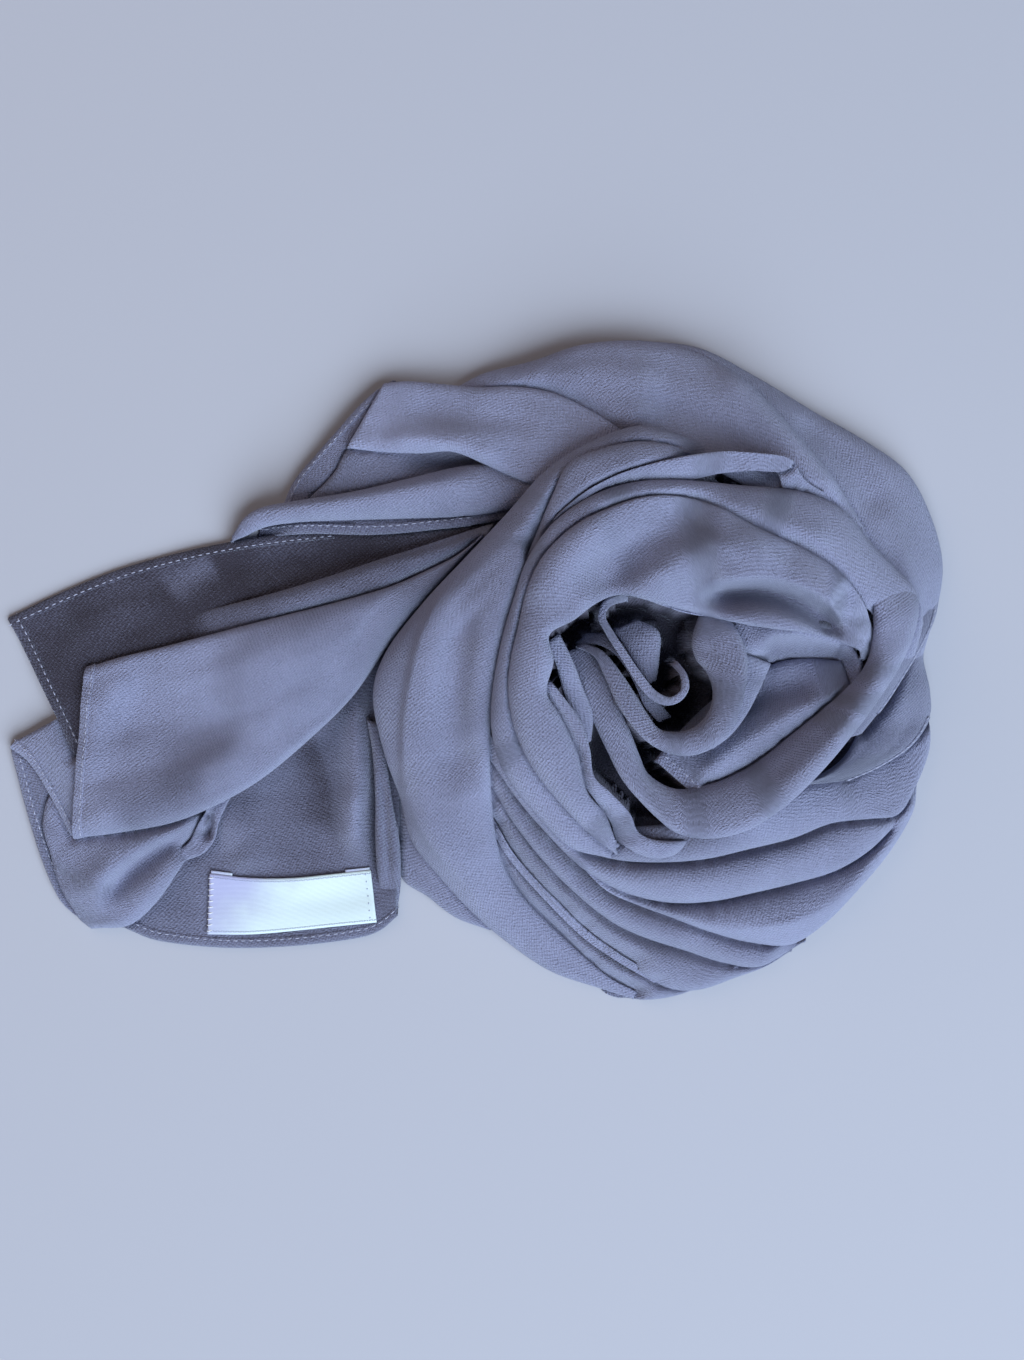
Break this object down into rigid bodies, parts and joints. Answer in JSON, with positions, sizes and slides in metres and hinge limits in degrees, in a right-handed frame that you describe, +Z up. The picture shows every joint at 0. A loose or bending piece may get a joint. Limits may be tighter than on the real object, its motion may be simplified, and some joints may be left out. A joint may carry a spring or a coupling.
{
  "type": "headscarf",
  "caption": "Crepe headscarf laid on a table, wound into a rose-like coil with its hemmed free end fanned out flat beside it and a bare satin label sewn on",
  "frame": {"origin": "the middle of the scarf's bounding box in plan, on the surface that it lies on", "axes": "+X runs from the fanned free end to the coil, +Y from the labelled hem to the far side, +Z up off the surface"},
  "size_m": [0.3346, 0.2353, 0.0491],
  "materials": {
    "crepe": "matt crinkled crepe chiffon",
    "inner_crepe": "matt crinkled crepe chiffon in shade",
    "satin": "woven satin with a soft sheen"
  },
  "bodies": {
    "root": {"outer_right": "crepe", "under_layer": "crepe", "label_panel": "crepe", "left_hem_corner": "crepe", "label_side_fold": "crepe", "corner_flap": "crepe", "lower_lobe": "crepe", "little_loop": "crepe", "corner_panel": "crepe", "panel_roll": "crepe", "front_panel": "crepe", "back_hem": "crepe", "folded_strip": "crepe", "flap_under": "crepe", "flap_lower": "crepe", "flap_top": "crepe", "top_sweep": "crepe", "right_fold_low": "crepe", "right_fold_high": "crepe", "swirl_end": "crepe", "swirl_fourth": "crepe", "swirl_pin": "crepe", "swirl_third": "crepe", "swirl_second": "crepe", "swirl_first": "crepe", "swirl_inner": "crepe", "broad_band": "crepe", "pleat_upper": "crepe", "pleat_tip": "crepe", "pleat_crest": "crepe", "inner_band": "crepe", "petal_lip": "crepe", "petal_main": "crepe", "petal_tuck": "crepe", "petal_hemmed": "crepe", "petal_outer": "crepe", "left_sliver": "crepe", "left_roll": "crepe", "ring_panel": "crepe", "ring_back": "crepe", "centre_panel": "crepe", "ring_petal": "crepe", "centre_loop": "crepe", "hidden_layers": "inner_crepe", "label": "satin"}
  },
  "joints": []
}
